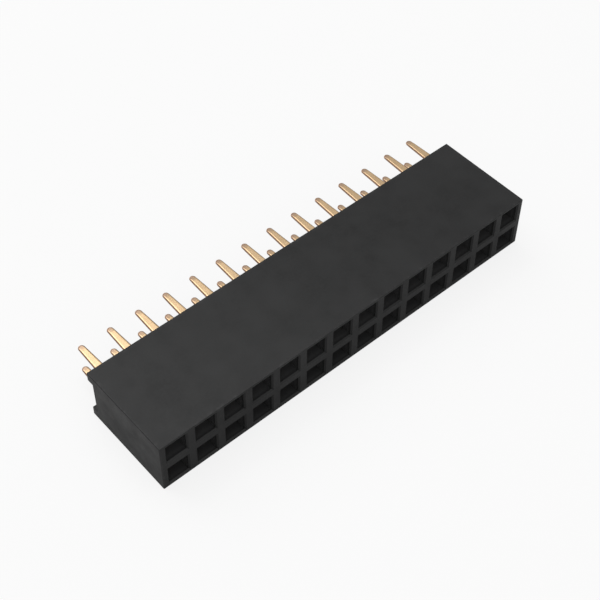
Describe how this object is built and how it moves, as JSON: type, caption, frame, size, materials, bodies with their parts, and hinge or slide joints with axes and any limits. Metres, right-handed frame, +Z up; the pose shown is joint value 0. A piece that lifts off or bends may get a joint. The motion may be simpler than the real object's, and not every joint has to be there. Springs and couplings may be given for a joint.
{
  "type": "socket header",
  "caption": "Board socket header: slim moulded housing with rows of square pin cavities, folded spring contacts inside and flat tapered solder tails at the back.",
  "frame": {"origin": "centre of the footprint on the surface that the header lies on, under the middle of its length and of its depth with tails", "axes": "+X along the rows, -Y out of the side that the pins enter, +Y out of the board side along the tails, +Z up across the two rows"},
  "size_m": [0.0358, 0.0116, 0.0049],
  "materials": {
    "housing_plastic": "fine matt moulded surface",
    "contact_gold": "thin gold plating on stamped sheet"
  },
  "bodies": {
    "root": {"housing": "housing_plastic", "contact_a01": "contact_gold", "contact_a02": "contact_gold", "contact_a03": "contact_gold", "contact_a04": "contact_gold", "contact_a05": "contact_gold", "contact_a06": "contact_gold", "contact_a07": "contact_gold", "contact_a08": "contact_gold", "contact_a09": "contact_gold", "contact_a10": "contact_gold", "contact_a11": "contact_gold", "contact_a12": "contact_gold", "contact_a13": "contact_gold", "contact_a14": "contact_gold", "contact_b01": "contact_gold", "contact_b02": "contact_gold", "contact_b03": "contact_gold", "contact_b04": "contact_gold", "contact_b05": "contact_gold", "contact_b06": "contact_gold", "contact_b07": "contact_gold", "contact_b08": "contact_gold", "contact_b09": "contact_gold", "contact_b10": "contact_gold", "contact_b11": "contact_gold", "contact_b12": "contact_gold", "contact_b13": "contact_gold", "contact_b14": "contact_gold"}
  },
  "joints": []
}
